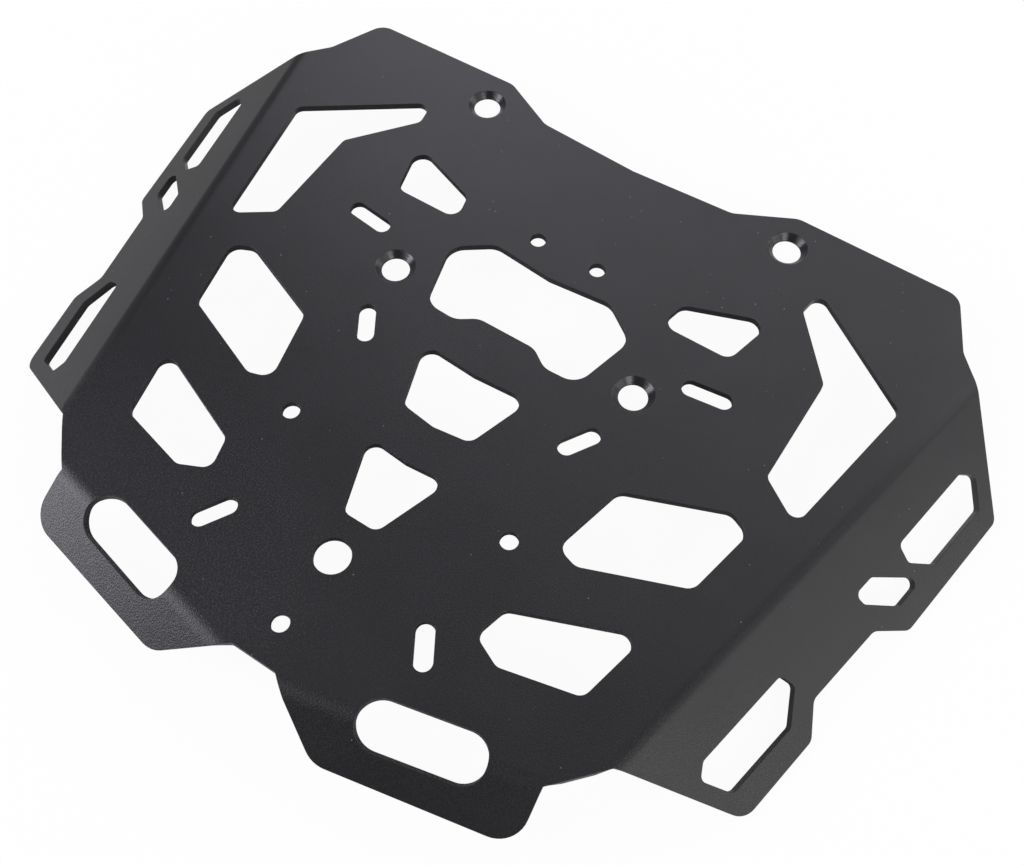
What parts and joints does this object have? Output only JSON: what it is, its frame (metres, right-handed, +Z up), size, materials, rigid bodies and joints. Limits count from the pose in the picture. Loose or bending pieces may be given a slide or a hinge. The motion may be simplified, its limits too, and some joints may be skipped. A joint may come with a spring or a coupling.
{
  "type": "motorcycle luggage rack",
  "caption": "Flat folded-sheet rack plate for a motorcycle tail, with cut-outs, strap slots, side wings and end tabs bent down for tying luggage or bolting a top case.",
  "frame": {"origin": "on the plane of the plate's underside, midway between the pair of countersunk fixing holes near the middle", "axes": "+X along the centre line towards the wide end, +Y across the rack, +Z up out of the flat top face"},
  "size_m": [0.288, 0.39, 0.0253],
  "materials": {
    "powder_coated_aluminium": "black powder coat with a fine sand texture on aluminium sheet"
  },
  "bodies": {
    "root": {"rack_plate": "powder_coated_aluminium"}
  },
  "joints": []
}
